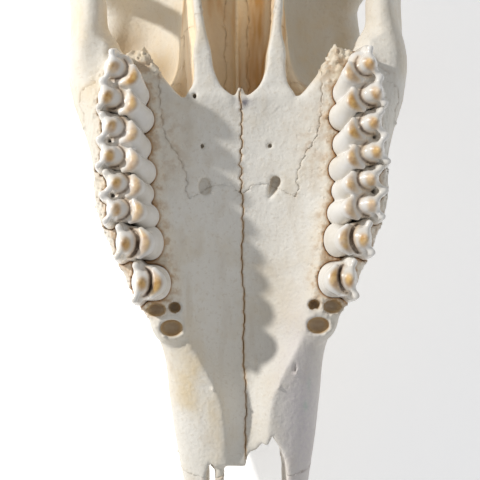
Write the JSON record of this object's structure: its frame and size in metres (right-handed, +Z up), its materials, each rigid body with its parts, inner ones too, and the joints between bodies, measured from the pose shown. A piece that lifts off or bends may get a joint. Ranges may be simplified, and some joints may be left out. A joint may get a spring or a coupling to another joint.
{
  "type": "bushbuck skull",
  "caption": "Hornless bushbuck skull without its lower jaw, lying on its forehead with the palate and cheek teeth up.",
  "frame": {"origin": "middle of the bounding box at the level of the surface that the skull lies on", "axes": "+Z up, out of the palate's side; +Y along the skull from the snout to the nape; +X across, to the animal's right"},
  "size_m": [0.0917, 0.2186, 0.0851],
  "materials": {
    "braincase": "dry bleached bone, matte",
    "frontal": "dry bleached bone, matte",
    "maxilla_left": "dry bleached bone, matte, with glossy enamel on the teeth",
    "maxilla_right": "dry bleached bone, matte, with glossy enamel on the teeth",
    "nasal_left": "dry bleached bone, matte",
    "nasal_right": "dry bleached bone, matte",
    "premaxilla_left": "dry bleached bone, matte",
    "premaxilla_right": "dry bleached bone, matte",
    "zygomatic_left": "dry bleached bone, matte",
    "zygomatic_right": "dry bleached bone, matte"
  },
  "bodies": {
    "root": {"braincase": "braincase", "frontal": "frontal", "maxilla_left": "maxilla_left", "maxilla_right": "maxilla_right", "nasal_left": "nasal_left", "nasal_right": "nasal_right", "premaxilla_left": "premaxilla_left", "premaxilla_right": "premaxilla_right", "zygomatic_left": "zygomatic_left", "zygomatic_right": "zygomatic_right"}
  },
  "joints": []
}
